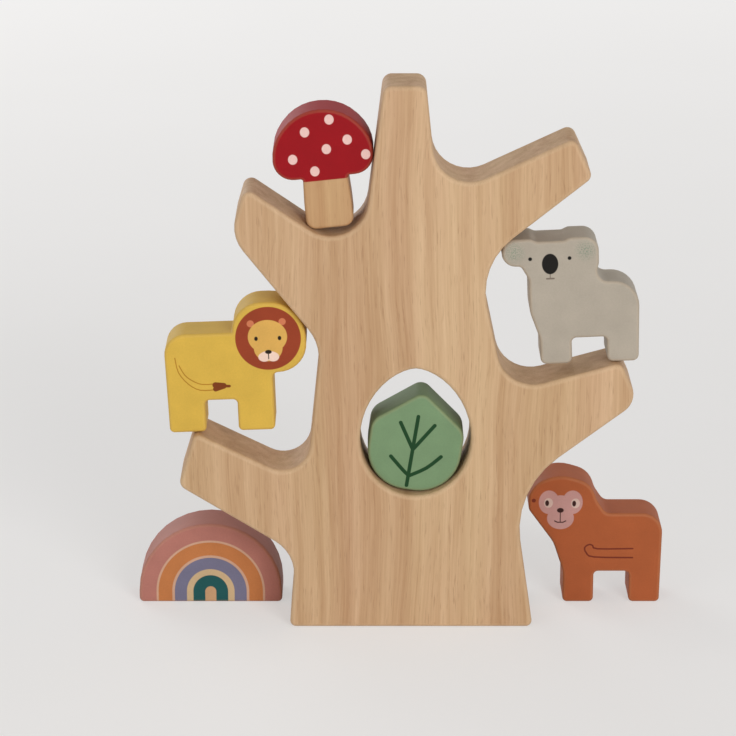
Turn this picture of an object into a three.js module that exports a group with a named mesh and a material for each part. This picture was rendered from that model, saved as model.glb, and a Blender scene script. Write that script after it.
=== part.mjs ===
// A balancing tree game: a solid wooden tree that stands on its trunk, and eight loose wooden figures.
// Millimetres, +Z up. The tree's face looks along -Y, and the origin is under the middle of the trunk.

import * as THREE from 'three';

// Stock and fits shared by all the pieces
const TREE_THICKNESS = 28;
const FIGURE_THICKNESS = 20;
const TREE_EDGE = 2;
const FIGURE_EDGE = 1.4;
const SEAT_CLEARANCE = 0.3;
const ROW_CLEARANCE = 1;
const ARC_STEP = THREE.MathUtils.degToRad(11);
const EDGE_STEPS = 1;
const SAME_POINT = 0.05;
const SEAT_TOLERANCE = 0.002;
const SEAT_STEPS = 200;

// The tree. A corner is written as x, z and the radius that rounds it. A branch has the crook where its top
// leaves the trunk, the two corners of its end, and the armpit where its underside meets the trunk again.
const TRUNK_HEIGHT = 236;
const TRUNK_BASE_WIDTH = 104;
const TRUNK_TOP_WIDTH = 17.4;
const TRUNK_TOP_SHIFT = -3.5;
const TRUNK_BASE_ROUND = 2.5;
const TRUNK_TOP_ROUND = 4;
const UPPER_LEFT = {
  crook: [-21.6, 161.2, 15.6],
  tipTop: [-69.2, 193.8, 3.5],
  tipUnder: [-75.3, 173, 16],
  armpit: [-38.3, 126.4, 20],
};
const LOWER_LEFT = {
  crook: [-44.6, 64.6, 12],
  tipTop: [-91.4, 87.6, 2.6],
  tipUnder: [-98.6, 64, 4],
  armpit: [-49.3, 33.4, 17],
};
const UPPER_RIGHT = {
  crook: [10.2, 188.2, 15.4],
  tipTop: [66, 214.4, 3.5],
  tipUnder: [73.6, 197.8, 3.5],
  armpit: [27.2, 160.6, 29],
};
const LOWER_RIGHT = {
  crook: [39, 105, 15.4],
  tipTop: [87.2, 118.4, 4],
  tipUnder: [94.8, 101.4, 9],
  armpit: [42.8, 62, 40],
};
const HOLLOW = { x: 1.5, z: 84.6, halfWidth: 23.4, below: 25, above: 31.2, taper: 1.2, steps: 44 };

// The mushroom, which leans in the upper left crook
const MUSHROOM_HEIGHT = 50;
const STEM_HEIGHT = 21.5;
const STEM_TOP_WIDTH = 18.4;
const STEM_WIDTH = 19.6;
const STEM_ROUND = 4;
const CAP_WIDTH = 41.6;
const CAP_LIP_ROUND = 9;
const CAP_SHOULDER = 37;
const CAP_CROWN_ROUND = 20;
const CAP_CROWN_WIDTH = 18.7;
const NECK_ROUND = 1;
const MUSHROOM_LEAN = THREE.MathUtils.degToRad(6);

// The lion, koala, monkey and rabbit stand on two legs each, measured from the middle of the gap between them
const BELLY_ROUND = 2;
const LION = { leg: 15.4, gap: 13.6, legHeight: 13.8, back: 43, rumpRound: 9, bulge: 0.8, footRound: 2 };
const LION_HEAD_RADIUS = 15.3;
const LION_HEAD_X = 21.4;
const LION_HEAD_Z = 40.4;
const LION_CHIN_ROUND = 3;
const LION_NAPE_ROUND = 1;
const LION_LEAN = THREE.MathUtils.degToRad(2);
const KOALA = { leg: 13.2, gap: 14.6, legHeight: 11, back: 35, rumpRound: 11, bulge: 1, footRound: 2.6 };
const KOALA_EAR_ROUND = 6;
const KOALA_EAR_DROP = 11.4;
const KOALA_EAR_RISE = 1.2;
const KOALA_EAR_WIDTH = 12;
const KOALA_EAR_SLOPE = 2.4;
const KOALA_EAR_TUCK = [7.8, 0.4, 2];
const KOALA_CHIN = 37;
const KOALA_CROWN_ROUND = 3;
const KOALA_NAPE = [2, 4.5];
const KOALA_CHEST = 4;
const KOALA_CHEST_ROUND = 12;
const KOALA_HEAD_TOP = 53.2;
const KOALA_HEAD_LEFT = -35.4;
const KOALA_HEAD_RIGHT = 4.8;
const KOALA_PERCH = 3.2;
const MONKEY = { leg: 13.4, gap: 15.4, legHeight: 14.2, back: 41, rumpRound: 9, bulge: 0.8, footRound: 2 };
const MONKEY_HEAD_TOP = 57.8;
const MONKEY_HEAD_LEFT = -36.5;
const MONKEY_HEAD_RIGHT = -7;
const MONKEY_HEAD_ROUND = 10;
const MONKEY_TEMPLE_DROP = 3;
const MONKEY_TEMPLE_SET = 2.6;
const MONKEY_CROWN_X = -23.2;
const MONKEY_CROWN_RISE = 1.2;
const MONKEY_CROWN_ROUND = 16;
const MONKEY_CHEST_ROUND = 14;
const MONKEY_CHEEK = 6;
const MONKEY_NAPE_ROUND = 4;
const MONKEY_CHEST = 4.4;
const MONKEY_TRUNK_CLEARANCE = 5;
const RABBIT = { leg: 12.6, gap: 14, legHeight: 11, back: 34, rumpRound: 13, bulge: 1.4, footRound: 2.4 };
const RABBIT_HEAD_LEFT = -31;
const RABBIT_HEAD_RIGHT = -7;
const RABBIT_CROWN = 48;
const RABBIT_EAR_TOP = 64;
const RABBIT_EAR_WIDTH = 7.4;
const RABBIT_EAR_SPLIT = 1.8;
const RABBIT_EAR_SPLAY = 1.4;
const RABBIT_HEAD_ROUND = 7;
const RABBIT_CHIN = 25;

// The leaf, which stands in the hollow
const LEAF_WIDTH = 39.6;
const LEAF_SHOULDER = 28.6;
const LEAF_APEX = 43.9;
const LEAF_BASE_ROUND = 17.6;
const LEAF_SHOULDER_ROUND = 7.5;
const LEAF_APEX_ROUND = 5;
const LEAF_SET = -2.8;
const LEAF_TURN = THREE.MathUtils.degToRad(-8);

// The rainbow, a stilted half disc
const RAINBOW_RADIUS = 31.2;
const RAINBOW_STILT = 5;
const RAINBOW_FOOT_ROUND = 2;
const RAINBOW_TRUNK_CLEARANCE = 4;

// The crocodile, long and low
const CROCODILE_LENGTH = 94;
const CROCODILE_LEG = 14.2;
const CROCODILE_FRONT_LEG_X = -19.3;
const CROCODILE_REAR_LEG_X = 16.5;
const CROCODILE_LEG_HEIGHT = 5;
const CROCODILE_BACK = 19;
const CROCODILE_BACK_FALL = 2.2;
const CROCODILE_CRESTS = 4;
const CROCODILE_CREST = 3;
const CROCODILE_CREST_WIDTH = 6.1;
const CROCODILE_CREST_FIRST = -8.5;
const CROCODILE_CREST_LAST = 29.1;
const CROCODILE_TAIL_TIP = 10;
const CROCODILE_FOOT_ROUND = 1.9;
const CROCODILE_EYE_HEIGHT = 25;
const CROCODILE_BROW_BACK = -16.9;
const CROCODILE_BROW_FRONT = -25.4;
const CROCODILE_SNOUT = 13;
const CROCODILE_SNOUT_ROOT = -29.1;
const CROCODILE_SNOUT_ROUND = 3.8;

// Shape and placing helpers

// The arc that rounds one corner of a closed polygon, given the length it may take along each side.
function cornerArc(corners, reach, i) {
  const [x, z] = corners[i];
  const corner = new THREE.Vector2(x, z);
  const [before, after] = neighbours(corners, i);
  const back = before.sub(corner).normalize();
  const ahead = after.sub(corner).normalize();
  const half = Math.acos(THREE.MathUtils.clamp(back.dot(ahead), -1, 1)) / 2;
  const radius = reach[i] * Math.tan(half);
  const bisector = back.clone().add(ahead).normalize();
  const centre = corner.clone().addScaledVector(bisector, radius / Math.sin(half));
  const start = corner.clone().addScaledVector(back, reach[i]);
  const sweep = (Math.PI - 2 * half) * Math.sign(ahead.cross(back));
  return { centre, radius, start, sweep };
}

function neighbours(corners, i) {
  const count = corners.length;
  const [beforeX, beforeZ] = corners[(i + count - 1) % count];
  const [afterX, afterZ] = corners[(i + 1) % count];
  return [new THREE.Vector2(beforeX, beforeZ), new THREE.Vector2(afterX, afterZ)];
}

// How far each corner's rounding runs along its sides. Two roundings that would meet on a side share it.
function cornerReaches(corners) {
  const wanted = corners.map(([x, z, radius], i) => {
    const corner = new THREE.Vector2(x, z);
    const [before, after] = neighbours(corners, i);
    const half = Math.acos(before.sub(corner).normalize().dot(after.sub(corner).normalize())) / 2;
    return radius / Math.tan(half);
  });
  const share = corners.map(([x, z], i) => {
    const next = (i + 1) % corners.length;
    const side = Math.hypot(corners[next][0] - x, corners[next][1] - z);
    return Math.min(1, side / (wanted[i] + wanted[next]));
  });
  return wanted.map((reach, i) => reach * Math.min(share[i], share[(i + share.length - 1) % share.length]));
}

// A closed polygon with its corners rounded, as a list of points.
function roundedOutline(corners) {
  const reach = cornerReaches(corners);
  const points = [];
  corners.forEach((corner, i) => {
    const { centre, start, sweep } = cornerArc(corners, reach, i);
    const steps = Math.max(1, Math.ceil(Math.abs(sweep) / ARC_STEP));
    for (let k = 0; k <= steps; k += 1) {
      const point = start.clone().rotateAround(centre, (sweep * k) / steps);
      const last = points[points.length - 1];
      if (!last || last.distanceTo(point) > SAME_POINT) points.push(point);
    }
  });
  if (points[0].distanceTo(points[points.length - 1]) < SAME_POINT) points.pop();
  return points;
}

// An egg with its broad end down: a half ellipse below its widest level, and above it a taller one that is
// narrowed towards the top.
function eggOutline({ x, z, halfWidth, below, above, taper, steps }) {
  return Array.from({ length: steps }, (_, k) => {
    const angle = (2 * Math.PI * k) / steps;
    const upper = Math.sin(angle) > 0;
    const across = Math.sign(Math.cos(angle)) * Math.abs(Math.cos(angle)) ** (upper ? taper : 1);
    const height = upper ? above : below;
    return new THREE.Vector2(x + halfWidth * across, z + height * Math.sin(angle));
  });
}

// A piece sawn from a board: its outline stands upright, and both faces have an eased edge.
function board(name, outline, thickness, edge, colour, holes = []) {
  const shape = new THREE.Shape(outline);
  shape.holes = holes.map((hole) => new THREE.Path(hole));
  const geometry = new THREE.ExtrudeGeometry(shape, {
    depth: thickness - 2 * edge,
    bevelThickness: edge,
    bevelSize: edge,
    bevelOffset: -edge,
    bevelSegments: EDGE_STEPS,
  });
  geometry.translate(0, 0, edge - thickness / 2);
  geometry.rotateX(Math.PI / 2);
  const mesh = new THREE.Mesh(geometry, new THREE.MeshStandardMaterial({ color: colour, roughness: 0.6 }));
  mesh.name = name;
  return mesh;
}

function figure(name, outline, colour, pose, y) {
  const mesh = board(name, outline, FIGURE_THICKNESS, FIGURE_EDGE, colour);
  mesh.position.set(pose.at.x, y, pose.at.y);
  mesh.rotation.y = -pose.turn;
  return mesh;
}

function posed(outline, pose) {
  const origin = new THREE.Vector2();
  return outline.map((point) => point.clone().rotateAround(origin, pose.turn).add(pose.at));
}

function distanceToSide(point, start, end) {
  const side = end.clone().sub(start);
  const along = THREE.MathUtils.clamp(point.clone().sub(start).dot(side) / side.lengthSq(), 0, 1);
  return point.distanceTo(start.clone().addScaledVector(side, along));
}

function gapBetween(a, b) {
  const nearest = (points, loop) =>
    Math.min(
      ...points.map((point) =>
        Math.min(...loop.map((start, i) => distanceToSide(point, start, loop[(i + 1) % loop.length]))),
      ),
    );
  return Math.min(nearest(a, b), nearest(b, a));
}

// Follows a figure along its way to its seat, and stops it one clearance away from what it comes to rest on.
// A step is never longer than the room left, so the figure can't pass through. The speed is how far the
// figure moves, in mm, for one unit of the way, and is below 0 where the way is followed backwards.
function settle(outline, poseAt, obstacle, from, speed) {
  let way = from;
  for (let k = 0; k < SEAT_STEPS; k += 1) {
    const room = gapBetween(posed(outline, poseAt(way)), obstacle) - SEAT_CLEARANCE;
    if (room < SEAT_TOLERANCE) break;
    way += room / speed;
  }
  return poseAt(way);
}

// Tree

const treeCorners = [
  [TRUNK_BASE_WIDTH / 2, 0, TRUNK_BASE_ROUND],
  LOWER_RIGHT.armpit,
  LOWER_RIGHT.tipUnder,
  LOWER_RIGHT.tipTop,
  LOWER_RIGHT.crook,
  UPPER_RIGHT.armpit,
  UPPER_RIGHT.tipUnder,
  UPPER_RIGHT.tipTop,
  UPPER_RIGHT.crook,
  [TRUNK_TOP_SHIFT + TRUNK_TOP_WIDTH / 2, TRUNK_HEIGHT, TRUNK_TOP_ROUND],
  [TRUNK_TOP_SHIFT - TRUNK_TOP_WIDTH / 2, TRUNK_HEIGHT, TRUNK_TOP_ROUND],
  UPPER_LEFT.crook,
  UPPER_LEFT.tipTop,
  UPPER_LEFT.tipUnder,
  UPPER_LEFT.armpit,
  LOWER_LEFT.crook,
  LOWER_LEFT.tipTop,
  LOWER_LEFT.tipUnder,
  LOWER_LEFT.armpit,
  [-TRUNK_BASE_WIDTH / 2, 0, TRUNK_BASE_ROUND],
];
const treeOutline = roundedOutline(treeCorners);
const hollowOutline = eggOutline(HOLLOW);
const treeReaches = cornerReaches(treeCorners);
const cornerPoint = ([x, z]) => new THREE.Vector2(x, z);
const arcAt = (corner) => cornerArc(treeCorners, treeReaches, treeCorners.indexOf(corner));

// Figures

function mushroomOutline() {
  const stem = STEM_WIDTH / 2;
  const neck = STEM_TOP_WIDTH / 2;
  const cap = CAP_WIDTH / 2;
  const crown = CAP_CROWN_WIDTH / 2;
  const lip = STEM_HEIGHT;
  return roundedOutline([
    [-stem, 0, STEM_ROUND],
    [stem, 0, STEM_ROUND],
    [stem, lip / 2, 2 * lip],
    [neck, lip, NECK_ROUND],
    [cap, lip, CAP_LIP_ROUND],
    [cap, CAP_SHOULDER, CAP_CROWN_ROUND],
    [crown, MUSHROOM_HEIGHT, CAP_CROWN_ROUND],
    [-crown, MUSHROOM_HEIGHT, CAP_CROWN_ROUND],
    [-cap, CAP_SHOULDER, CAP_CROWN_ROUND],
    [-cap, lip, CAP_LIP_ROUND],
    [-neck, lip, NECK_ROUND],
    [-stem, lip / 2, 2 * lip],
  ]);
}

// The corners of two legs and the belly between them, from the left foot's outer corner to the right one's.
function legCorners({ leg, gap, legHeight, footRound }) {
  const inner = gap / 2;
  const outer = inner + leg;
  return [
    [-outer, 0, footRound],
    [-inner, 0, footRound],
    [-inner, legHeight, BELLY_ROUND],
    [inner, legHeight, BELLY_ROUND],
    [inner, 0, footRound],
    [outer, 0, footRound],
  ];
}

function lionOutline() {
  const outer = LION.gap / 2 + LION.leg;
  const right = LION_HEAD_X + LION_HEAD_RADIUS;
  const left = LION_HEAD_X - LION_HEAD_RADIUS;
  const top = LION_HEAD_Z + LION_HEAD_RADIUS;
  const chin = LION_HEAD_Z - LION_HEAD_RADIUS;
  return roundedOutline([
    ...legCorners(LION),
    [outer, chin, LION_CHIN_ROUND],
    [right, chin, LION_HEAD_RADIUS],
    [right, top, LION_HEAD_RADIUS],
    [left, top, LION_HEAD_RADIUS],
    [left, LION.back, LION_NAPE_ROUND],
    [-outer - LION.bulge, LION.back, LION.rumpRound],
  ]);
}

function koalaOutline() {
  const outer = KOALA.gap / 2 + KOALA.leg;
  const ear = KOALA_EAR_ROUND;
  const left = KOALA_HEAD_LEFT;
  const right = KOALA_HEAD_RIGHT;
  const top = KOALA_HEAD_TOP;
  const earTop = top + KOALA_EAR_RISE;
  const earLow = earTop - KOALA_EAR_DROP;
  const [napeSet, napeRound] = KOALA_NAPE;
  const [tuckSet, tuckDrop, tuckRound] = KOALA_EAR_TUCK;
  const earEnd = KOALA_EAR_WIDTH;
  const crownStart = KOALA_EAR_WIDTH + KOALA_EAR_SLOPE;
  const chest = -outer - KOALA_CHEST;
  return roundedOutline([
    ...legCorners(KOALA),
    [outer + KOALA.bulge, KOALA.back, KOALA.rumpRound],
    [right - napeSet, KOALA.back, napeRound],
    [right, earLow, ear],
    [right, earTop, ear],
    [right - earEnd, earTop, ear / 2],
    [right - crownStart, top, KOALA_CROWN_ROUND],
    [left + crownStart, top, KOALA_CROWN_ROUND],
    [left + earEnd, earTop, ear / 2],
    [left, earTop, ear],
    [left, earLow, ear],
    [left + tuckSet, earLow - tuckDrop, tuckRound],
    [chest, KOALA_CHIN, napeRound],
    [chest, (KOALA.back + KOALA.legHeight) / 2, KOALA_CHEST_ROUND],
    [-outer, KOALA.legHeight, KOALA_CHEST_ROUND],
  ]);
}

function monkeyOutline() {
  const outer = MONKEY.gap / 2 + MONKEY.leg;
  const left = MONKEY_HEAD_LEFT;
  const right = MONKEY_HEAD_RIGHT;
  const top = MONKEY_HEAD_TOP;
  const temple = top - MONKEY_TEMPLE_DROP;
  const cheek = temple - MONKEY_CHEEK;
  return roundedOutline([
    ...legCorners(MONKEY),
    [outer + MONKEY.bulge, MONKEY.back, MONKEY.rumpRound],
    [right + MONKEY_NAPE_ROUND, MONKEY.back, MONKEY_NAPE_ROUND],
    [right, MONKEY.back + MONKEY_CHEEK, MONKEY_HEAD_ROUND],
    [right - MONKEY_TEMPLE_SET, temple, MONKEY_HEAD_ROUND],
    [MONKEY_CROWN_X, top + MONKEY_CROWN_RISE, MONKEY_CROWN_ROUND],
    [left + MONKEY_TEMPLE_SET, temple, MONKEY_HEAD_ROUND],
    [left, cheek, MONKEY_NAPE_ROUND],
    [left, cheek - MONKEY_CHEEK, MONKEY_NAPE_ROUND],
    [-outer - MONKEY_CHEST, (MONKEY.back + MONKEY.legHeight) / 2, MONKEY_CHEST_ROUND],
    [-outer, MONKEY.legHeight, MONKEY_HEAD_ROUND],
  ]);
}

function rabbitOutline() {
  const outer = RABBIT.gap / 2 + RABBIT.leg;
  const left = RABBIT_HEAD_LEFT;
  const right = RABBIT_HEAD_RIGHT;
  const ear = RABBIT_EAR_WIDTH;
  const middle = (left + right) / 2;
  const split = RABBIT_EAR_SPLIT / 2;
  const crown = RABBIT_CROWN;
  const tip = RABBIT_EAR_TOP;
  const splay = RABBIT_EAR_SPLAY;
  return roundedOutline([
    ...legCorners(RABBIT),
    [outer + RABBIT.bulge, RABBIT.back, RABBIT.rumpRound],
    [right, RABBIT.back, RABBIT_HEAD_ROUND],
    [right, crown, RABBIT_HEAD_ROUND],
    [middle + split + ear, crown, RABBIT_HEAD_ROUND / 2],
    [middle + split + ear + splay, tip, ear / 2],
    [middle + split + splay, tip, ear / 2],
    [middle + split, crown, split / 2],
    [middle - split, crown, split / 2],
    [middle - split - splay, tip, ear / 2],
    [middle - split - ear - splay, tip, ear / 2],
    [middle - split - ear, crown, RABBIT_HEAD_ROUND / 2],
    [left, crown, RABBIT_HEAD_ROUND],
    [left, RABBIT_CHIN, RABBIT_HEAD_ROUND],
    [-outer, RABBIT_CHIN, RABBIT_HEAD_ROUND / 2],
  ]);
}

function leafOutline() {
  const half = LEAF_WIDTH / 2;
  return roundedOutline([
    [-half, 0, LEAF_BASE_ROUND],
    [half, 0, LEAF_BASE_ROUND],
    [half, LEAF_SHOULDER, LEAF_SHOULDER_ROUND],
    [0, LEAF_APEX, LEAF_APEX_ROUND],
    [-half, LEAF_SHOULDER, LEAF_SHOULDER_ROUND],
  ]);
}

function rainbowOutline() {
  const top = RAINBOW_STILT + RAINBOW_RADIUS;
  return roundedOutline([
    [-RAINBOW_RADIUS, 0, RAINBOW_FOOT_ROUND],
    [RAINBOW_RADIUS, 0, RAINBOW_FOOT_ROUND],
    [RAINBOW_RADIUS, top, RAINBOW_RADIUS],
    [-RAINBOW_RADIUS, top, RAINBOW_RADIUS],
  ]);
}

function crocodileOutline() {
  const half = CROCODILE_LENGTH / 2;
  const leg = CROCODILE_LEG_HEIGHT;
  const foot = CROCODILE_FOOT_ROUND;
  const snout = CROCODILE_SNOUT_ROUND;
  const legSides = [CROCODILE_FRONT_LEG_X, CROCODILE_REAR_LEG_X].flatMap((x) => [
    [x - CROCODILE_LEG / 2, leg, foot],
    [x - CROCODILE_LEG / 2, 0, foot],
    [x + CROCODILE_LEG / 2, 0, foot],
    [x + CROCODILE_LEG / 2, leg, foot],
  ]);
  const crestStep = (CROCODILE_CREST_LAST - CROCODILE_CREST_FIRST) / (CROCODILE_CRESTS - 1);
  const back = [];
  for (let k = 0; k < CROCODILE_CRESTS; k += 1) {
    const x = CROCODILE_CREST_LAST - crestStep * k;
    const z = CROCODILE_BACK - CROCODILE_BACK_FALL * (CROCODILE_CRESTS - 1 - k);
    back.push([x, z + CROCODILE_CREST, foot], [x - CROCODILE_CREST_WIDTH, z, foot]);
  }
  return roundedOutline([
    ...legSides,
    [half, leg, foot],
    [half, CROCODILE_TAIL_TIP, foot],
    ...back,
    [CROCODILE_BROW_BACK, CROCODILE_EYE_HEIGHT, snout],
    [CROCODILE_BROW_FRONT, CROCODILE_EYE_HEIGHT, snout],
    [CROCODILE_SNOUT_ROOT, CROCODILE_SNOUT, foot],
    [-half, CROCODILE_SNOUT, snout],
    [-half, leg, snout],
  ]);
}

// Seats

// The mushroom's cap is brought up to the trunk's edge, then the mushroom slides down along that edge until
// its stem meets the branch.
function mushroomPose(outline) {
  const crook = cornerPoint(UPPER_LEFT.crook);
  const trunkTop = new THREE.Vector2(TRUNK_TOP_SHIFT - TRUNK_TOP_WIDTH / 2, TRUNK_HEIGHT);
  const up = trunkTop.sub(crook).normalize();
  const away = new THREE.Vector2(-up.y, up.x);
  const poseAt = (rise, reach) => ({
    turn: MUSHROOM_LEAN,
    at: crook.clone().addScaledVector(up, rise).addScaledVector(away, reach),
  });
  const cap = outline.filter((point) => point.y >= STEM_HEIGHT);
  const beside = settle(cap, (reach) => poseAt(STEM_HEIGHT, reach), treeOutline, CAP_WIDTH, -1);
  const reach = beside.at.clone().sub(crook).dot(away);
  const stem = outline.filter((point) => point.y < STEM_HEIGHT);
  return settle(stem, (rise) => poseAt(rise, reach), treeOutline, MUSHROOM_HEIGHT, -1);
}

// A figure that stands on the end of a branch: a point of its sole lies on the rounded upper corner.
function perchPose(tipTop, soleX, turn) {
  const { centre, radius } = arcAt(tipTop);
  const up = new THREE.Vector2(-Math.sin(turn), Math.cos(turn));
  const along = new THREE.Vector2(Math.cos(turn), Math.sin(turn));
  const at = centre.clone().addScaledVector(up, radius + SEAT_CLEARANCE).addScaledVector(along, -soleX);
  return { turn, at };
}

// The lion's rear foot slides in over the branch until its mane meets the tree.
function lionPose(outline) {
  const poseAt = (soleX) => perchPose(LOWER_LEFT.tipTop, soleX, LION_LEAN);
  const head = outline.filter((point) => point.y > LION.legHeight);
  return settle(head, poseAt, treeOutline, LION.gap, -1);
}

// The koala's rear foot stands on the branch's end, and it leans until an ear meets the tree.
function koalaPose(outline) {
  const soleX = KOALA.gap / 2 + KOALA_PERCH;
  const poseAt = (turn) => perchPose(LOWER_RIGHT.tipTop, soleX, turn);
  const head = outline.filter((point) => point.y > KOALA.back);
  const lever = Math.max(...head.map((point) => point.distanceTo(new THREE.Vector2(soleX, 0))));
  return settle(head, poseAt, treeOutline, 0, lever);
}

// The leaf is lowered until it meets the bottom of the hollow.
function leafPose(outline) {
  const poseAt = (z) => ({ turn: LEAF_TURN, at: new THREE.Vector2(HOLLOW.x + LEAF_SET, z) });
  return settle(outline, poseAt, hollowOutline, HOLLOW.z - LEAF_APEX / 2, -1);
}

function standing(x) {
  return { turn: 0, at: new THREE.Vector2(x, 0) };
}

// Where the trunk's right edge is at a height.
function trunkRightAt(z) {
  const crossings = treeOutline.map((start, i) => {
    const end = treeOutline[(i + 1) % treeOutline.length];
    const share = (z - start.y) / (end.y - start.y);
    return share >= 0 && share <= 1 ? start.x + share * (end.x - start.x) : 0;
  });
  return Math.max(...crossings);
}

// Assembly

const tree = board('tree', treeOutline, TREE_THICKNESS, TREE_EDGE, 0xcda679, [hollowOutline]);
const floorRow = (TREE_THICKNESS + FIGURE_THICKNESS) / 2 + ROW_CLEARANCE;
const backRow = floorRow + FIGURE_THICKNESS + ROW_CLEARANCE;

const mushroom = mushroomOutline();
const lion = lionOutline();
const koala = koalaOutline();
const leaf = leafOutline();
const rainbowX = -TRUNK_BASE_WIDTH / 2 - RAINBOW_TRUNK_CLEARANCE - RAINBOW_RADIUS;
const monkeyX = trunkRightAt(MONKEY.back) + MONKEY_TRUNK_CLEARANCE - MONKEY_HEAD_LEFT;

const game = new THREE.Group();
game.add(
  tree,
  figure('mushroom', mushroom, 0xa3101f, mushroomPose(mushroom), 0),
  figure('lion', lion, 0xd6b057, lionPose(lion), 0),
  figure('koala', koala, 0xb4ab9d, koalaPose(koala), 0),
  figure('leaf', leaf, 0x7c9f78, leafPose(leaf), 0),
  figure('rainbow', rainbowOutline(), 0xa56459, standing(rainbowX), floorRow),
  figure('monkey', monkeyOutline(), 0xa5562f, standing(monkeyX), floorRow),
  figure('crocodile', crocodileOutline(), 0x7f9c5e, standing(0), floorRow),
  figure('rabbit', rabbitOutline(), 0xaba3c4, standing(0), backRow),
);

export default game;
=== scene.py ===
import math
from functools import partial

import bpy
from mathutils import Matrix, Vector
from mathutils.geometry import convex_hull_2d, tessellate_polygon


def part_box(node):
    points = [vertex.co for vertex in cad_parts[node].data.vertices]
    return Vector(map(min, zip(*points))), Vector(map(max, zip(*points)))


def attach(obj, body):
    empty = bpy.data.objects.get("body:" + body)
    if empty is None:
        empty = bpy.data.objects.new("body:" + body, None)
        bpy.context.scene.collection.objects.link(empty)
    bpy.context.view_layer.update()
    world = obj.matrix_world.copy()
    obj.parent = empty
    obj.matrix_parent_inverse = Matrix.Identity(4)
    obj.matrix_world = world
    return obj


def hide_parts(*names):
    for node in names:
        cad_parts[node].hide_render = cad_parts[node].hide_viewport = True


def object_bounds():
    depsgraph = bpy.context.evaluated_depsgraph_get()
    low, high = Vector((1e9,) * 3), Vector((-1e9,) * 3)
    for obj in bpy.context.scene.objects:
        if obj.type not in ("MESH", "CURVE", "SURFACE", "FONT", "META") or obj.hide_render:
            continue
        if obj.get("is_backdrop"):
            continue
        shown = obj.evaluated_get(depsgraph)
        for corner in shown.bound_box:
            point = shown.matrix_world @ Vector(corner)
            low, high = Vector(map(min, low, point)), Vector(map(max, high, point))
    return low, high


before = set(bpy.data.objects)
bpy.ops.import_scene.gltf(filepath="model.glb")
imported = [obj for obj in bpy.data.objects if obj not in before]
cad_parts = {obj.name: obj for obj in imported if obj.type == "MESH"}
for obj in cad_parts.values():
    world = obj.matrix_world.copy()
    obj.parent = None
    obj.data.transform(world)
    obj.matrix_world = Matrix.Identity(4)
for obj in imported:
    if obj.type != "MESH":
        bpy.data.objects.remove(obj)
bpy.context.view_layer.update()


# Tree: one thick board of pale hardwood, sawn to a trunk with four branches and an egg-shaped hollow.
# Its faces are sanded, its edges rounded over, and a thin clear coat leaves the vertical grain in sight.
# It stands free on its sawn base.
SAME_LEVEL = 1e-5
ROUND_STEPS = 6


def sawn_loops(solid):
    """The closed loops that a board was sawn along, the longest first, and the y of its faces and walls."""
    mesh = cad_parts[solid].data
    levels = sorted({round(v.co.y, 5) for v in mesh.vertices})
    front_wall = levels[1]
    links = {}
    for edge in mesh.edges:
        ends = [mesh.vertices[i].co for i in edge.vertices]
        if all(abs(p.y - front_wall) < SAME_LEVEL for p in ends):
            a, b = [(round(p.x, 6), round(p.z, 6)) for p in ends]
            links.setdefault(a, set()).add(b)
            links.setdefault(b, set()).add(a)
    loops = []
    while links:
        start = min(links)
        loop = [start]
        step = max(links[start])
        while step != start:
            ahead = links[step] - {loop[-1]}
            loop.append(step)
            step = min(ahead)
        for point in loop:
            del links[point]
        loops.append([Vector(point) for point in loop])
    loops.sort(key=len, reverse=True)
    return loops, levels


def area(loop):
    """The area inside a loop, below zero where the loop runs clockwise."""
    return sum(a.cross(b) for a, b in zip(loop, loop[1:] + loop[:1])) / 2


def outward(loop):
    """At each point of a loop with the wood on its left, the way out of the wood, longer at a bend."""
    ways = []
    for before, here, after in zip(loop[-1:] + loop[:-1], loop, loop[1:] + loop[:1]):
        came = (here - before).normalized()
        goes = (after - here).normalized()
        a = Vector((came.y, -came.x))
        b = Vector((goes.y, -goes.x))
        ways.append((a + b) / (1 + a.dot(b)))
    return ways


def edge_rings(front, back, ease):
    """The rings of points from the front face over the two rounded edges to the back face.

    Each ring has the side that it is on, its turn from the face to the wall, its inset and its y.
    """
    rings = []
    for side, face in ((-1, front), (1, back)):
        for k in range(ROUND_STEPS + 1):
            turn = math.pi / 2 * k / ROUND_STEPS
            inset = ease * (1 - math.sin(turn))
            y = face - side * ease * (1 - math.cos(turn))
            rings.append((side, turn, inset, y))
    return rings[:ROUND_STEPS + 1] + rings[:ROUND_STEPS:-1]


def cap_faces(points, cap, is_back):
    """The triangles of a board's front or back face, which leave a hollow open."""
    flat = [[Vector((points[i].x, points[i].z, 0)) for i in ring] for ring in cap]
    index = [i for ring in cap for i in ring]
    faces = []
    for corners in tessellate_polygon(flat):
        a, b, c = (index[i] for i in corners)
        is_forward = (points[b] - points[a]).cross(points[c] - points[a]).y < 0
        faces.append((a, b, c) if is_forward != is_back else (a, c, b))
    return faces


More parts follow.
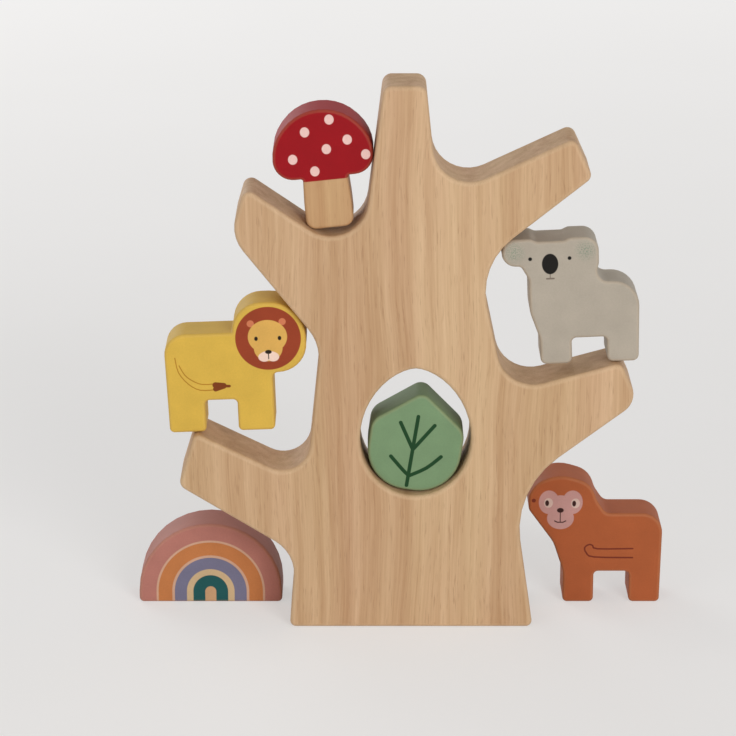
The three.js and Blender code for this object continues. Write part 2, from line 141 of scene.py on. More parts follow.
def board(name, solid, stance=Matrix()):
    """A board with a CAD piece's sawn outline, in its own standing frame, with its edges rounded over."""
    loops, (front, front_wall, _, back) = sawn_loops(solid)
    home = stance.inverted()
    rings = edge_rings(front, back, front_wall - front)
    points, normals, worn_and_highlit, faces = [], [], [], []
    front_cap, back_cap = [], []
    for number, loop in enumerate(loops):
        is_outline = number == 0
        if (area(loop) > 0) != is_outline:
            loop.reverse()
        ways = outward(loop)
        first = len(points)
        for side, turn, inset, y in rings:
            for point, way in zip(loop, ways):
                flat = point - way * inset
                out = way.normalized() * math.sin(turn)
                points.append(home @ Vector((flat.x, y, flat.y)))
                normals.append(home.to_3x3() @ Vector((out.x, side * math.cos(turn), out.y)))
                # Halfway round an edge a point is most worn, and gets the most painted highlight.
                worn_and_highlit.append(math.sin(2 * turn))
        count = len(loop)
        last = len(points) - count
        for a in range(first, last, count):
            b = a + count
            for i in range(count):
                j = (i + 1) % count
                faces.append((a + i, b + i, b + j, a + j))
        front_cap.append(range(first, first + count))
        back_cap.append(range(last, last + count))
    faces += cap_faces(points, front_cap, False)
    faces += cap_faces(points, back_cap, True)
    mesh = bpy.data.meshes.new(name)
    mesh.from_pydata(points, [], faces)
    mesh.polygons.foreach_set("use_smooth", [True] * len(mesh.polygons))
    mesh.attributes.new("worn_and_highlit", "FLOAT", "POINT").data.foreach_set("value", worn_and_highlit)
    mesh.update()
    mesh.normals_split_custom_set_from_vertices(normals)
    piece = bpy.data.objects.new(name, mesh)
    bpy.context.scene.collection.objects.link(piece)
    piece.matrix_world = stance
    return piece


def srgb(red, green, blue):
    """A colour given as on a screen, from 0 to 255, as the linear colour that shaders take."""
    parts = [c / 255 for c in (red, green, blue)]
    return [c / 12.92 if c <= 0.04045 else ((c + 0.055) / 1.055) ** 2.4 for c in parts] + [1.0]


def node(net, kind, inputs=(), **settings):
    """A new node with its settings, and with its inputs set or linked, by name or by place in the list."""
    made = net.nodes.new(kind)
    for key, value in settings.items():
        setattr(made, key, value)
    for key, value in dict(inputs).items():
        if isinstance(value, bpy.types.NodeSocket):
            net.links.new(value, made.inputs[key])
        else:
            made.inputs[key].default_value = value
    return made


def math_node(net, operation, *values, clamp=False):
    return node(net, "ShaderNodeMath", enumerate(values), operation=operation, use_clamp=clamp).outputs[0]


def vector_node(net, operation, *values, out="Vector"):
    return node(net, "ShaderNodeVectorMath", enumerate(values), operation=operation).outputs[out]


def parts_of(net, vector):
    """The X, Y and Z of a vector."""
    return node(net, "ShaderNodeSeparateXYZ", {"Vector": vector}).outputs


def ramp(net, value, low, high, to_low=0.0, to_high=1.0):
    """A value that goes from low to high, brought to the span from to_low to to_high and held there."""
    return node(net, "ShaderNodeMapRange", enumerate((value, low, high, to_low, to_high))).outputs[0]


def noise(net, place, waves, detail):
    """Soft noise with a number of waves to the millimetre along each axis."""
    spread = vector_node(net, "MULTIPLY", place, waves)
    inputs = {"Vector": spread, "Scale": 1.0, "Detail": detail}
    return node(net, "ShaderNodeTexNoise", inputs).outputs["Fac"]


def mixed(net, factor, a, b):
    """Colour a where the factor is 0 and colour b where it is 1."""
    return node(net, "ShaderNodeMix", {"Factor": factor, 6: a, 7: b}, data_type="RGBA").outputs[2]


def new_group(name, inputs, outputs):
    """An empty shader node group with named sockets, and the sockets to build between."""
    group = bpy.data.node_groups.new(name, "ShaderNodeTree")
    for way, sockets in (("INPUT", inputs), ("OUTPUT", outputs)):
        for label, kind in sockets:
            group.interface.new_socket(name=label, in_out=way, socket_type="NodeSocket" + kind)
    return group, group.nodes.new("NodeGroupInput").outputs, group.nodes.new("NodeGroupOutput").inputs


def use_group(net, group, **inputs):
    return node(net, "ShaderNodeGroup", inputs, node_tree=group).outputs


NOISE_SPAN = (0.3, 0.7)


def wood_group():
    """Straight-grained wood along Z: glued staves, broad bands, streaks, fibres and short dark pores.

    A share is how much of the step from dark to light wood each of them makes.
    """
    wander_waves, wander_reach = (0.02, 0.02, 0.012), 5.0
    stave_share = 0.14
    band_waves, band_span, band_share = (0.085, 0.085, 0.0025), (0.35, 0.65), 0.24
    streak_waves, streak_share = (0.22, 0.22, 0.005), 0.36
    fibre_waves, fibre_share, fibre_height = (1.6, 1.6, 0.035), 0.26, 0.5
    pore_waves, pore_span, pore_share = (2.1, 2.1, 0.13), (0.63, 0.73), 0.28
    hue_waves, hue_span = (0.05, 0.05, 0.004), (0.496, 0.504)

    net, given, made = new_group(
        "wood_grain",
        [("Place", "Vector"), ("Light", "Color"), ("Dark", "Color"), ("Pore", "Color"), ("Stave", "Float")],
        [("Colour", "Color"), ("Relief", "Float")],
    )
    wander = ramp(net, noise(net, given["Place"], wander_waves, 1.0), 0.0, 1.0, -wander_reach, wander_reach)
    sideways = node(net, "ShaderNodeCombineXYZ", {"X": wander}).outputs[0]
    place = vector_node(net, "ADD", given["Place"], sideways)
    across = parts_of(net, given["Place"])["X"]
    stave_number = math_node(net, "FLOOR", math_node(net, "DIVIDE", across, given["Stave"]))
    stave = node(net, "ShaderNodeTexWhiteNoise", {"W": stave_number}, noise_dimensions="1D").outputs["Value"]
    band = ramp(net, noise(net, place, band_waves, 2.0), *band_span)
    streak = ramp(net, noise(net, place, streak_waves, 5.0), *NOISE_SPAN)
    fibre = ramp(net, noise(net, place, fibre_waves, 4.0), *NOISE_SPAN)
    pore = ramp(net, noise(net, place, pore_waves, 1.0), *pore_span)
    tone = math_node(net, "MULTIPLY", fibre, fibre_share)
    tone = math_node(net, "MULTIPLY_ADD", streak, streak_share, tone)
    tone = math_node(net, "MULTIPLY_ADD", band, band_share, tone)
    tone = math_node(net, "MULTIPLY_ADD", stave, stave_share, tone)
    plain = mixed(net, tone, given["Dark"], given["Light"])
    hue = ramp(net, noise(net, place, hue_waves, 2.0), *NOISE_SPAN, *hue_span)
    grain = node(net, "ShaderNodeHueSaturation", {"Hue": hue, "Color": plain}).outputs[0]
    pored = mixed(net, math_node(net, "MULTIPLY", pore, pore_share), grain, given["Pore"])
    net.links.new(pored, made["Colour"])
    raised = math_node(net, "MULTIPLY", fibre, fibre_height)
    net.links.new(math_node(net, "SUBTRACT", raised, pore), made["Relief"])
    return net


def new_material(name, piece):
    """A material on a piece, its shader, the place on the piece in millimetres, and its rounded edges for
    wear and a painted highlight.
    """
    material = bpy.data.materials.new(name)
    material.use_nodes = True
    net = material.node_tree
    shader = net.nodes["Principled BSDF"]
    metres = net.nodes.new("ShaderNodeTexCoord").outputs["Object"]
    place = vector_node(net, "MULTIPLY", metres, (1000.0, 1000.0, 1000.0))
    edge = node(net, "ShaderNodeAttribute", attribute_name="worn_and_highlit").outputs["Fac"]
    piece.data.materials.append(material)
    return net, shader, place, edge


BUMP_DEPTH = 0.0002


def bumped(net, shader, relief, strength):
    bump = node(net, "ShaderNodeBump", {"Height": relief, "Strength": strength, "Distance": BUMP_DEPTH})
    net.links.new(bump.outputs["Normal"], shader.inputs["Normal"])


TREE_LIGHT = srgb(223, 190, 152)
TREE_DARK = srgb(174, 133, 94)
TREE_PORE = srgb(142, 100, 66)
TREE_EDGE_TONE_AND_HIGHLIGHT = srgb(228, 198, 160)
TREE_EDGE_WEAR_AND_HIGHLIGHT = 0.3
TREE_STAVE = 34.0
wood_grain = wood_group()
tree = board("tree_board", "tree")
net, shader, place, edge = new_material("hardwood", tree)
wood = use_group(
    net, wood_grain, Place=place, Light=TREE_LIGHT, Dark=TREE_DARK, Pore=TREE_PORE, Stave=TREE_STAVE
)
# The rounded edges are mixed towards a paler wood: partly sanded wear, partly a painted highlight.
edge_wear_and_highlight = math_node(net, "MULTIPLY", edge, TREE_EDGE_WEAR_AND_HIGHLIGHT)
net.links.new(mixed(net, edge_wear_and_highlight, wood["Colour"], TREE_EDGE_TONE_AND_HIGHLIGHT), shader.inputs["Base Color"])
bumped(net, shader, wood["Relief"], 0.25)
shader.inputs["Roughness"].default_value = 0.6
shader.inputs["Specular IOR Level"].default_value = 0.25
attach(tree, "tree")
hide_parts("tree")


# Mushroom: sawn from a thinner board. Its cap is sprayed red with printed pale dots, and the stem is left
# bare. It stands on the upper left branch with the cap against the trunk.
# A print is placed in millimetres from the middle of the figure's sole, to the right and up.
SOLE_SLOPE = 0.5
ON_SOLE = 2e-5


def standing(solid):
    """Where a figure stands: the middle of the line under its feet, turned as it leans."""
    loops, levels = sawn_loops(solid)
    outline = loops[0]
    hull = [outline[i] for i in convex_hull_2d(outline)]
    middle = sum(p.y for p in hull) / len(hull)
    soles = []
    for a, b in zip(hull, hull[1:] + hull[:1]):
        a, b = sorted((a, b), key=lambda p: p.x)
        is_flat = abs(b.y - a.y) < SOLE_SLOPE * (b.x - a.x)
        if is_flat and (a.y + b.y) / 2 < middle:
            soles.append((a, b))
    a, b = max(soles, key=lambda sole: (sole[1] - sole[0]).length)
    along = (b - a).normalized()
    reaches = [along.dot(p - a) for p in outline if abs(along.cross(p - a)) < ON_SOLE]
    foot = a + along * (min(reaches) + max(reaches)) / 2
    turn = math.atan2(along.y, along.x)
    row = (levels[0] + levels[3]) / 2
    return Matrix.Translation((foot.x, row, foot.y)) @ Matrix.Rotation(-turn, 4, "Y")


def paint_group():
    """A sprayed coat of paint: faint clouds and specks, paler on the eased edge where it wears thin and as a
    painted highlight, over slight grain.
    """
    cloud_waves, cloud_span = (0.09, 0.09, 0.09), (0.94, 1.05)
    speck_waves, speck_span = (1.3, 1.3, 1.3), (0.97, 1.03)
    grain_waves = (1.2, 1.2, 0.05)
    bare_wood = srgb(240, 200, 150)
    bare_share = 0.3
    edge_thinning_and_highlight = 0.3

    net, given, made = new_group(
        "paint_coat",
        [("Place", "Vector"), ("Paint", "Color"), ("Edge", "Float")],
        [("Colour", "Color"), ("Relief", "Float")],
    )
    place = given["Place"]
    cloud = ramp(net, noise(net, place, cloud_waves, 4.0), *NOISE_SPAN, *cloud_span)
    speck = ramp(net, noise(net, place, speck_waves, 2.0), *NOISE_SPAN, *speck_span)
    value = math_node(net, "MULTIPLY", cloud, speck)
    clouded = node(net, "ShaderNodeHueSaturation", {"Value": value, "Color": given["Paint"]}).outputs[0]
    thin = mixed(net, bare_share, clouded, bare_wood)
    # The eased edge is paler: partly paint worn thin to the wood, partly a painted highlight.
    worn_and_highlit = math_node(net, "MULTIPLY", given["Edge"], edge_thinning_and_highlight)
    net.links.new(mixed(net, worn_and_highlit, clouded, thin), made["Colour"])
    net.links.new(noise(net, place, grain_waves, 3.0), made["Relief"])
    return net


PRINT_DEPTH = 0.4
SPOT_BLUR = 0.12


def on_front(net, given, mask):
    """A mask that ends a little behind the front face that a print group is given."""
    depth = parts_of(net, given["Place"])["Y"]
    limit = math_node(net, "ADD", given["Face"], PRINT_DEPTH)
    return math_node(net, "MULTIPLY", mask, math_node(net, "LESS_THAN", depth, limit))


def spot_group():
    """The mask of a printed oval on a figure's front face."""
    net, given, made = new_group(
        "printed_spot",
        [("Place", "Vector"), ("Centre", "Vector"), ("Half", "Vector"), ("Face", "Float")],
        [("Mask", "Float")],
    )
    apart = vector_node(net, "SUBTRACT", given["Place"], given["Centre"])
    flat = vector_node(net, "MULTIPLY", apart, (1.0, 0.0, 1.0))
    share = vector_node(net, "LENGTH", vector_node(net, "DIVIDE", flat, given["Half"]), out="Value")
    half = parts_of(net, given["Half"])
    blur = math_node(net, "DIVIDE", SPOT_BLUR, math_node(net, "MINIMUM", half["X"], half["Z"]))
    inner = math_node(net, "SUBTRACT", 1.0, blur)
    outer = math_node(net, "ADD", 1.0, blur)
    inside = ramp(net, share, inner, outer, 1.0, 0.0)
    net.links.new(on_front(net, given, inside), made["Mask"])
    return net


def face_of(piece):
    """How far in front of a figure's middle its printed face is, in millimetres."""
    return 1000 * min(v.co.y for v in piece.data.vertices)


def any_of(net, masks):
    """The mask of what lies in at least one of some masks."""
    made = masks[0]
    for mask in masks[1:]:
        made = math_node(net, "MAXIMUM", made, mask)
    return made


def spots(piece, net, place, *ovals):
    """The mask of printed ovals, each given as the x and z of its middle, its half width and half height."""
    face = face_of(piece)
    masks = []
    for x, z, half_x, half_z in ovals:
        half = (half_x, 1.0, half_z)
        made = use_group(net, printed_spot, Place=place, Centre=(x, 0.0, z), Half=half, Face=face)
        masks.append(made["Mask"])
    return any_of(net, masks)


def painted(net, shader, place, edge, colour):
    """Lays the paint coat over a colour and sets up the shader for it."""
    coat = use_group(net, paint_coat, Place=place, Paint=colour, Edge=edge)
    net.links.new(coat["Colour"], shader.inputs["Base Color"])
    bumped(net, shader, coat["Relief"], 0.12)
    shader.inputs["Roughness"].default_value = 0.58
    shader.inputs["Specular IOR Level"].default_value = 0.2
    return coat


CAP_RED = srgb(150, 3, 17)
CAP_DOT = srgb(236, 196, 188)
DOTS = ((-6.3, 41.3), (10.7, 36.5), (1.8, 33.4), (-12.4, 30.4), (17.6, 29.6), (-3.9, 24.6), (4.2, 45.6))
DOT_HALF = (1.9, 2.1)
PAINT_LINE = (20.3, 20.6)
STEM_LIGHT = srgb(210, 172, 130)
STEM_DARK = srgb(180, 136, 94)
STEM_PORE = srgb(150, 104, 66)
STEM_STAVE = 60.0
paint_coat = paint_group()
printed_spot = spot_group()
mushroom = board("mushroom_figure", "mushroom", standing("mushroom"))
net, shader, place, edge = new_material("red_cap", mushroom)
dots = spots(mushroom, net, place, *((x, z, *DOT_HALF) for x, z in DOTS))
coat = painted(net, shader, place, edge, mixed(net, dots, CAP_RED, CAP_DOT))
stem = use_group(
    net, wood_grain, Place=place, Light=STEM_LIGHT, Dark=STEM_DARK, Pore=STEM_PORE, Stave=STEM_STAVE
)
on_cap = ramp(net, parts_of(net, place)["Z"], *PAINT_LINE)
net.links.new(mixed(net, on_cap, stem["Colour"], coat["Colour"]), shader.inputs["Base Color"])
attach(mushroom, "mushroom")
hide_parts("mushroom")


# Lion: sawn from the same board as the other figures and sprayed yellow all round. The mane, face and tail
# are printed on its front. It perches by its rear foot on the lower left branch, its mane against the tree.
STROKE_BLUR = 0.1


def stroke_group():
    """The mask of a printed round-ended stroke on a figure's front face."""
    net, given, made = new_group(
        "printed_stroke",
        [("Place", "Vector"), ("Start", "Vector"), ("End", "Vector"), ("Width", "Float"), ("Face", "Float")],
        [("Mask", "Float")],
    )
    flat = vector_node(net, "MULTIPLY", given["Place"], (1.0, 0.0, 1.0))
    away = vector_node(net, "SUBTRACT", flat, given["Start"])
    run = vector_node(net, "SUBTRACT", given["End"], given["Start"])
    reach = vector_node(net, "DOT_PRODUCT", away, run, out="Value")
    length = vector_node(net, "DOT_PRODUCT", run, run, out="Value")
    along = math_node(net, "DIVIDE", reach, length, clamp=True)
    nearest = node(net, "ShaderNodeVectorMath", {0: run, "Scale": along}, operation="SCALE").outputs[0]
    off = vector_node(net, "LENGTH", vector_node(net, "SUBTRACT", away, nearest), out="Value")
    half = math_node(net, "MULTIPLY", given["Width"], 0.5)
    inner = math_node(net, "SUBTRACT", half, STROKE_BLUR)
    outer = math_node(net, "ADD", half, STROKE_BLUR)
    inside = ramp(net, off, inner, outer, 1.0, 0.0)
    net.links.new(on_front(net, given, inside), made["Mask"])
    return net


def strokes(piece, net, place, width, *paths):
    """The mask of printed lines of one width, each through a list of points."""
    face = face_of(piece)
    masks = []
    for path in paths:
        ends = [(x, 0.0, z) for x, z in path]
        for start, end in zip(ends, ends[1:]):
            made = use_group(net, printed_stroke, Place=place, Start=start, End=end, Width=width, Face=face)
            masks.append(made["Mask"])
    return any_of(net, masks)


def smooth(path, steps=3):
    """Points on a smooth line that passes through a list of points."""
    ends = [path[0], *path, path[-1]]
    made = []
    for before, here, ahead, beyond in zip(ends, ends[1:], ends[2:], ends[3:]):
        for t in (k / steps for k in range(steps)):
            made.append(tuple(
                q + t / 2 * (r - p + t * (2 * p - 5 * q + 4 * r - s + t * (3 * (q - r) + s - p)))
                for p, q, r, s in zip(before, here, ahead, beyond)
            ))
    return made + [path[-1]]


LION_YELLOW = srgb(216, 177, 74)
TAIL_OCHRE = srgb(176, 122, 34)
TAIL_WIDTH = 0.45
TAIL_SIDES = (
    ((-18.4, 33.0), (-17.2, 26.6), (-13.3, 21.4), (-8.5, 18.6), (-2.0, 18.6)),
    ((-16.8, 29.6), (-14.6, 25.4), (-11.2, 22.6), (-7.4, 21.1), (-2.0, 21.2)),
)
TUFT_BROWN = srgb(124, 58, 18)
TUFT = (
    (2.6, ((-2.0, 20.6), (1.4, 20.2))),
    (2.2, ((-2.0, 18.9), (1.4, 20.0))),
    (1.2, ((0.8, 20.1), (3.8, 20.0))),
)
MANE_RUST = srgb(150, 62, 34)
MANE = (20.9, 40.3, 13.7, 13.7)
LION_EAR_PINK = srgb(206, 122, 84)
LION_EARS = ((13.8, 46.9, 1.5, 1.5), (27.1, 47.4, 1.5, 1.5))
LION_FACE_GOLD = srgb(220, 172, 88)
LION_FACE = ((20.7, 41.0, 8.2, 7.3), (20.8, 36.2, 6.0, 5.9))
MUZZLE_CREAM = srgb(246, 214, 196)
MUZZLE = ((19.0, 32.2, 2.5, 2.0), (22.7, 32.2, 2.5, 2.0), (20.8, 33.0, 3.6, 1.8))
LION_INK = srgb(34, 22, 12)
LION_EYES = ((15.9, 40.3, 0.75, 0.95), (25.7, 40.3, 0.75, 0.95))
LION_NOSE = (20.8, 34.4, 1.4, 0.9)
LION_LIP_WIDTH = 0.4
LION_LIP = ((20.8, 34.0), (20.8, 31.4))
printed_stroke = stroke_group()
lion = board("lion_figure", "lion", standing("lion"))
net, shader, place, edge = new_material("lion_yellow", lion)
ovals = partial(spots, lion, net, place)
lines = partial(strokes, lion, net, place)
tuft = any_of(net, [lines(width, path) for width, path in TUFT])
features = any_of(net, [ovals(*LION_EYES, LION_NOSE), lines(LION_LIP_WIDTH, LION_LIP)])
look = mixed(net, lines(TAIL_WIDTH, *map(smooth, TAIL_SIDES)), LION_YELLOW, TAIL_OCHRE)
look = mixed(net, tuft, look, TUFT_BROWN)
look = mixed(net, ovals(MANE), look, MANE_RUST)
look = mixed(net, ovals(*LION_EARS), look, LION_EAR_PINK)
look = mixed(net, ovals(*LION_FACE), look, LION_FACE_GOLD)
look = mixed(net, ovals(*MUZZLE), look, MUZZLE_CREAM)
look = mixed(net, features, look, LION_INK)
painted(net, shader, place, edge, look)
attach(lion, "lion")
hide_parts("lion")


# Koala: sawn and sprayed warm grey. Its nose, eyes and mouth are printed, and its ears are stippled with
# green-grey that fades outward. It perches by its rear foot on the lower right branch, one ear against
# the tree.
KOALA_GREY = srgb(176, 166, 151)
EAR_SAGE = srgb(134, 146, 128)
KOALA_EARS = ((-30.2, 48.9), (-0.8, 48.7))
EAR_RINGS = (1.6, 2.4, 3.2, 4.0, 4.8)
STIPPLE_WAVES = (1.9, 1.9, 1.9)
STIPPLE_SPAN = (0.44, 0.6)
KOALA_MOUTH_BROWN = srgb(122, 109, 98)
KOALA_MOUTH_WIDTH = 0.7
KOALA_MOUTH = ((-17.1, 37.3), (-14.2, 37.3))
KOALA_LIP_WIDTH = 0.4
KOALA_LIP = ((-15.7, 39.4), (-15.7, 37.4))
KOALA_INK = srgb(12, 8, 4)
KOALA_NOSE = (-15.6, 43.6, 3.4, 4.4)
KOALA_EYES = ((-23.8, 46.0, 0.8, 0.8), (-7.5, 45.8, 0.8, 0.8))
koala = board("koala_figure", "koala", standing("koala"))
net, shader, place, edge = new_material("koala_grey", koala)
ovals = partial(spots, koala, net, place)
lines = partial(strokes, koala, net, place)
stipple = ramp(net, noise(net, place, STIPPLE_WAVES, 1.0), *STIPPLE_SPAN)
ears = 0.0
for ring in EAR_RINGS:
    inside = ovals(*((x, z, ring, ring) for x, z in KOALA_EARS))
    ears = math_node(net, "MULTIPLY_ADD", inside, 1 / len(EAR_RINGS), ears)
mouth = any_of(net, [lines(KOALA_MOUTH_WIDTH, KOALA_MOUTH), lines(KOALA_LIP_WIDTH, KOALA_LIP)])
look = mixed(net, math_node(net, "MULTIPLY", ears, stipple), KOALA_GREY, EAR_SAGE)
look = mixed(net, mouth, look, KOALA_MOUTH_BROWN)
look = mixed(net, ovals(KOALA_NOSE, *KOALA_EYES), look, KOALA_INK)
painted(net, shader, place, edge, look)
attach(koala, "koala")
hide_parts("koala")


# Leaf: sawn and sprayed soft green, with dark green veins printed on its front. It stands in the hollow of
# the trunk, leaning a little to the right.
LEAF_LEAN = math.radians(8)
LEAF_HALF_HEIGHT = 0.0215
LEAF_GREEN = srgb(120, 148, 110)
VEIN_GREEN = srgb(22, 62, 30)
VEIN_WIDTH = 1.6
VEINS = (
    ((-1.2, 2.6), (-0.9, 19.0), (-0.6, 33.6)),
    ((-0.9, 18.9), (-7.6, 30.0)),
    ((-0.9, 18.7), (6.8, 30.6)),
    ((-9.6, 14.6), (-3.7, 9.2), (-1.1, 7.2)),
    ((11.4, 17.2), (6.0, 11.4), (-1.1, 6.8)),
)
low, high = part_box("leaf")
leaf_up = Vector((math.sin(LEAF_LEAN), 0.0, math.cos(LEAF_LEAN)))
leaf_foot = (low + high) / 2 - leaf_up * LEAF_HALF_HEIGHT
leaf = board("leaf_figure", "leaf", Matrix.Translation(leaf_foot) @ Matrix.Rotation(LEAF_LEAN, 4, "Y"))
net, shader, place, edge = new_material("leaf_green", leaf)
veins = strokes(leaf, net, place, VEIN_WIDTH, *map(smooth, VEINS))
painted(net, shader, place, edge, mixed(net, veins, LEAF_GREEN, VEIN_GREEN))
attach(leaf, "leaf")
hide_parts("leaf")


# Rainbow: a stilted half disc, sawn and sprayed rose, with its inner bands printed on the front. It stands
# on the floor behind the lower left branch.
RAINBOW_ROSE = srgb(180, 119, 107)
BANDS = (
    (23.7, srgb(206, 164, 138)),
    (22.8, srgb(193, 122, 71)),
    (16.8, srgb(206, 164, 138)),
    (15.7, srgb(117, 115, 139)),
    (10.4, srgb(204, 176, 136)),
    (7.6, srgb(28, 84, 84)),
    (2.4, srgb(200, 158, 118)),
)
STILT = 5.0
rainbow = board("rainbow_figure", "rainbow", standing("rainbow"))
net, shader, place, edge = new_material("rainbow_bands", rainbow)
level = vector_node(net, "MULTIPLY", place, (1.0, 1.0, 0.0))
raised = math_node(net, "MAXIMUM", parts_of(net, place)["Z"], STILT)
arched = vector_node(net, "ADD", level, node(net, "ShaderNodeCombineXYZ", {"Z": raised}).outputs[0])
look = RAINBOW_ROSE
for radius, colour in BANDS:
    look = mixed(net, spots(rainbow, net, arched, (0.0, STILT, radius, radius)), look, colour)
painted(net, shader, place, edge, look)
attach(rainbow, "rainbow")
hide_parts("rainbow")


# Monkey: sawn and sprayed russet, with a pale heart-shaped face and a curled arm printed on its front. It
# stands on the floor behind the lower right branch.
MONKEY_RUSSET = srgb(170, 90, 50)
ARM_BROWN = srgb(112, 44, 26)
ARM_WIDTH = 0.7
ARM = (
    (9.0, 25.0), (-6.4, 24.9), (-8.5, 26.5), (-10.2, 26.8),
    (-11.9, 25.4), (-11.2, 23.1), (-7.8, 21.1), (9.0, 20.8),
)
MONKEY_EAR = (-34.4, 47.2, 0.9, 0.9)
MONKEY_FACE_PINK = srgb(193, 147, 141)
MONKEY_FACE = (
    (-27.8, 46.4, 4.4, 5.4),
    (-17.6, 46.4, 4.4, 5.4),
    (-22.7, 44.6, 5.4, 5.0),
    (-22.7, 39.1, 5.8, 5.1),
)
EYE_WHITE = srgb(212, 184, 172)
MONKEY_EYE_WHITES = ((-28.0, 46.1, 1.9, 2.2), (-16.3, 45.9, 1.9, 2.2))
MONKEY_INK = srgb(52, 22, 18)
MONKEY_PUPILS = ((-28.6, 46.0, 0.85, 1.35), (-16.9, 45.8, 0.85, 1.35))
MONKEY_NOSE = (-22.8, 42.7, 1.5, 1.1)
MONKEY_LIP_WIDTH = 0.4
MONKEY_LIP = ((-22.8, 42.5), (-22.8, 37.5))
MONKEY_MOUTH_WIDTH = 0.5
MONKEY_MOUTH = ((-25.2, 37.8), (-24.0, 37.2), (-21.6, 37.2), (-20.4, 37.8))
monkey = board("monkey_figure", "monkey", standing("monkey"))
net, shader, place, edge = new_material("monkey_russet", monkey)
ovals = partial(spots, monkey, net, place)
lines = partial(strokes, monkey, net, place)
arm_and_ear = any_of(net, [lines(ARM_WIDTH, smooth(ARM)), ovals(MONKEY_EAR)])
features = any_of(net, [
    ovals(*MONKEY_PUPILS, MONKEY_NOSE),
    lines(MONKEY_LIP_WIDTH, MONKEY_LIP),
    lines(MONKEY_MOUTH_WIDTH, MONKEY_MOUTH),
])
look = mixed(net, arm_and_ear, MONKEY_RUSSET, ARM_BROWN)
look = mixed(net, ovals(*MONKEY_FACE), look, MONKEY_FACE_PINK)
look = mixed(net, ovals(*MONKEY_EYE_WHITES), look, EYE_WHITE)
look = mixed(net, features, look, MONKEY_INK)
painted(net, shader, place, edge, look)
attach(monkey, "monkey")
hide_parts("monkey")


# Crocodile: long and low, sawn with a crested back and sprayed olive green, with an eye, a mouth and scales
# printed on its front. It stands on the floor behind the trunk.
CROCODILE_GREEN = srgb(130, 152, 96)
SCALE_GREEN = srgb(84, 110, 62)
SCALES = (
    (-8.0, 13.6), (0.5, 12.4), (9.0, 11.4), (17.5, 10.4),
    (26.0, 9.4), (-3.8, 9.4), (4.8, 8.8), (13.2, 8.2),
)
SCALE_HALF = (1.5, 1.0)
CROCODILE_EYE_CREAM = srgb(238, 230, 210)
CROCODILE_EYE = (-19.6, 19.6, 2.3, 2.3)
CROCODILE_INK = srgb(36, 44, 26)
CROCODILE_PUPIL = (-20.0, 19.4, 1.0, 1.0)
NOSTRIL = (-42.0, 10.2, 0.7, 0.7)
CROCODILE_MOUTH_WIDTH = 0.6
CROCODILE_MOUTH = ((-44.0, 7.6), (-34.0, 8.2), (-26.0, 8.0), (-22.6, 9.4))
crocodile = board("crocodile_figure", "crocodile", standing("crocodile"))
net, shader, place, edge = new_material("crocodile_green", crocodile)
ovals = partial(spots, crocodile, net, place)
mouth = strokes(crocodile, net, place, CROCODILE_MOUTH_WIDTH, smooth(CROCODILE_MOUTH))
features = any_of(net, [ovals(CROCODILE_PUPIL, NOSTRIL), mouth])
look = mixed(net, ovals(*((x, z, *SCALE_HALF) for x, z in SCALES)), CROCODILE_GREEN, SCALE_GREEN)
look = mixed(net, ovals(CROCODILE_EYE), look, CROCODILE_EYE_CREAM)
look = mixed(net, features, look, CROCODILE_INK)
painted(net, shader, place, edge, look)
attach(crocodile, "crocodile")
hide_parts("crocodile")


# Rabbit: sawn with two upright ears and sprayed lavender, with a small face and pink inner ears printed on
# its front. It stands on the floor at the back, behind the crocodile.
RABBIT_LAVENDER = srgb(174, 166, 198)
RABBIT_PINK = srgb(216, 170, 172)
INNER_EAR_WIDTH = 2.4
INNER_EARS = (
    ((-23.8, 52.0), (-24.6, 59.6)),
    ((-14.2, 52.0), (-13.4, 59.6)),
)
RABBIT_NOSE = (-19.0, 37.4, 1.3, 0.9)
RABBIT_INK = srgb(52, 44, 60)
RABBIT_EYES = ((-24.6, 40.4, 0.9, 1.1), (-13.4, 40.4, 0.9, 1.1))
RABBIT_MOUTH_WIDTH = 0.4
RABBIT_MOUTH = (
    ((-19.0, 36.8), (-19.0, 34.8)),
    ((-21.0, 34.2), (-19.0, 34.8), (-17.0, 34.2)),
)
rabbit = board("rabbit_figure", "rabbit", standing("rabbit"))
net, shader, place, edge = new_material("rabbit_lavender", rabbit)
ovals = partial(spots, rabbit, net, place)
lines = partial(strokes, rabbit, net, place)
pinks = any_of(net, [lines(INNER_EAR_WIDTH, *INNER_EARS), ovals(RABBIT_NOSE)])
features = any_of(net, [ovals(*RABBIT_EYES), lines(RABBIT_MOUTH_WIDTH, *RABBIT_MOUTH)])
look = mixed(net, pinks, RABBIT_LAVENDER, RABBIT_PINK)
look = mixed(net, features, look, RABBIT_INK)
painted(net, shader, place, edge, look)
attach(rabbit, "rabbit")
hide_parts("rabbit")


# Stage: a wide pale floor that fades into an even white surround, and three soft lamps.
# Seen directly or in a gloss, floor and surround are lifted towards white, and the floor keeps the shadow.
FLOOR_RADIUS = 8.0
FLOOR_CORNERS = 96
PAPER_DARK = srgb(236, 234, 232)
PAPER_LIGHT = srgb(241, 239, 238)
PAPER_WAVES = (0.004, 0.004, 0.004)
WHITE = srgb(250, 249, 248)
LIFT_REACH = (300.0, 2500.0)
LIFT_SPAN = (0.5, 1.0)


def seen(net):
    """1 for what is seen directly, in a gloss or through glass, and 0 for light that falls on the game."""
    path = net.nodes.new("ShaderNodeLightPath").outputs
    return any_of(net, [path["Is Camera Ray"], path["Is Glossy Ray"], path["Is Transmission Ray"]])


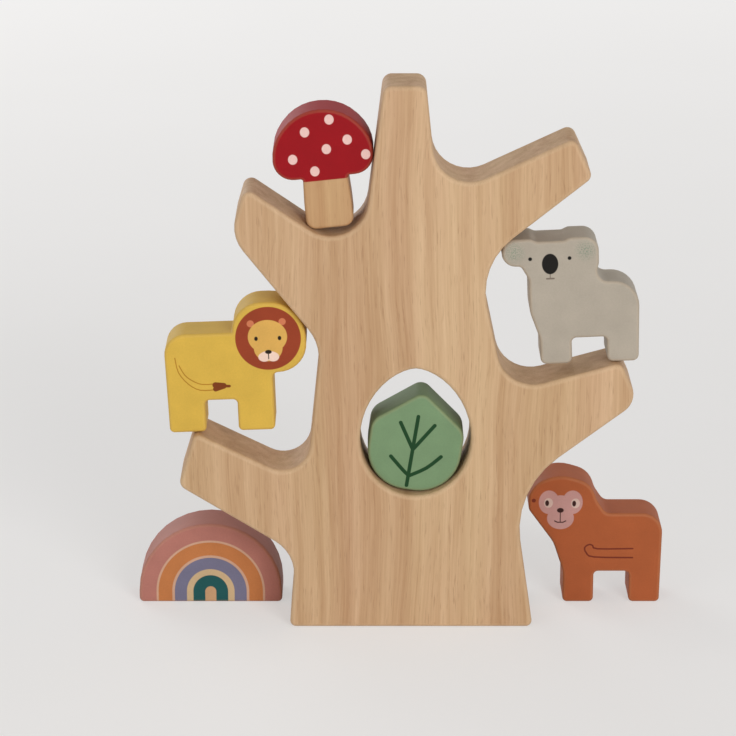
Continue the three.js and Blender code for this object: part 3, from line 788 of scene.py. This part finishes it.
floor_mesh = bpy.data.meshes.new("pale_floor")
turns = [2 * math.pi * k / FLOOR_CORNERS for k in range(FLOOR_CORNERS)]
rim = [(FLOOR_RADIUS * math.cos(turn), FLOOR_RADIUS * math.sin(turn), 0.0) for turn in turns]
floor_mesh.from_pydata(rim, [], [range(FLOOR_CORNERS)])
floor = bpy.data.objects.new("pale_floor", floor_mesh)
bpy.context.scene.collection.objects.link(floor)
net, shader, place, _ = new_material("pale_paper", floor)
cloud = ramp(net, noise(net, place, PAPER_WAVES, 3.0), *NOISE_SPAN)
net.links.new(mixed(net, cloud, PAPER_DARK, PAPER_LIGHT), shader.inputs["Base Color"])
shader.inputs["Roughness"].default_value = 0.9
away = vector_node(net, "LENGTH", place, out="Value")
lift = math_node(net, "MULTIPLY", seen(net), ramp(net, away, *LIFT_REACH, *LIFT_SPAN))
glow = node(net, "ShaderNodeEmission", {"Color": WHITE}).outputs[0]
lifted = node(net, "ShaderNodeMixShader", {0: lift, 1: shader.outputs[0], 2: glow})
net.links.new(lifted.outputs[0], net.nodes["Material Output"].inputs["Surface"])
floor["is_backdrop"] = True


def lamp(name, place, size, power):
    """A round soft lamp that faces the middle of the game."""
    data = bpy.data.lights.new(name, "AREA")
    data.shape = "DISK"
    data.size = size
    data.energy = power
    made = bpy.data.objects.new(name, data)
    bpy.context.scene.collection.objects.link(made)
    made.location = place
    made.rotation_mode = "QUATERNION"
    made.rotation_quaternion = (LAMP_AIM - Vector(place)).to_track_quat("-Z", "Y")


LAMP_AIM = Vector((0.0, 0.0, 0.11))
SURROUND_LIGHT = 0.38
lamp("key_lamp", place=(0.8, -1.65, 0.75), size=0.9, power=17.0)
lamp("fill_lamp", place=(-1.3, -1.4, 0.45), size=1.2, power=6.5)
lamp("back_lamp", place=(-1.2, 1.7, 0.85), size=1.4, power=11.0)
world = bpy.data.worlds.new("studio")
world.use_nodes = True
net = world.node_tree
surround = net.nodes["Background"]
surround.inputs["Color"].default_value = WHITE
net.links.new(ramp(net, seen(net), 0.0, 1.0, SURROUND_LIGHT, 1.0), surround.inputs["Strength"])
bpy.context.scene.world = world
bpy.context.scene.view_settings.view_transform = "Standard"


# Camera: straight in front of the game and a little above it, looking slightly down on it.
# A long lens from more than a metre away keeps the branches and the figures nearly to one scale.
CAMERA_RISE = math.radians(17.5)
CAMERA_DISTANCE = 1.27
CAMERA_AIM = Vector((-0.0185, -0.014, 0.1165))
CAMERA_LENS = 149.0
camera_data = bpy.data.cameras.new("camera")
camera_data.lens = CAMERA_LENS
camera = bpy.data.objects.new("camera", camera_data)
bpy.context.scene.collection.objects.link(camera)
back = Vector((0.0, -math.cos(CAMERA_RISE), math.sin(CAMERA_RISE)))
camera.location = CAMERA_AIM + CAMERA_DISTANCE * back
camera.rotation_mode = "QUATERNION"
camera.rotation_quaternion = (-back).to_track_quat("-Z", "Y")
bpy.context.scene.camera = camera

low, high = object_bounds()
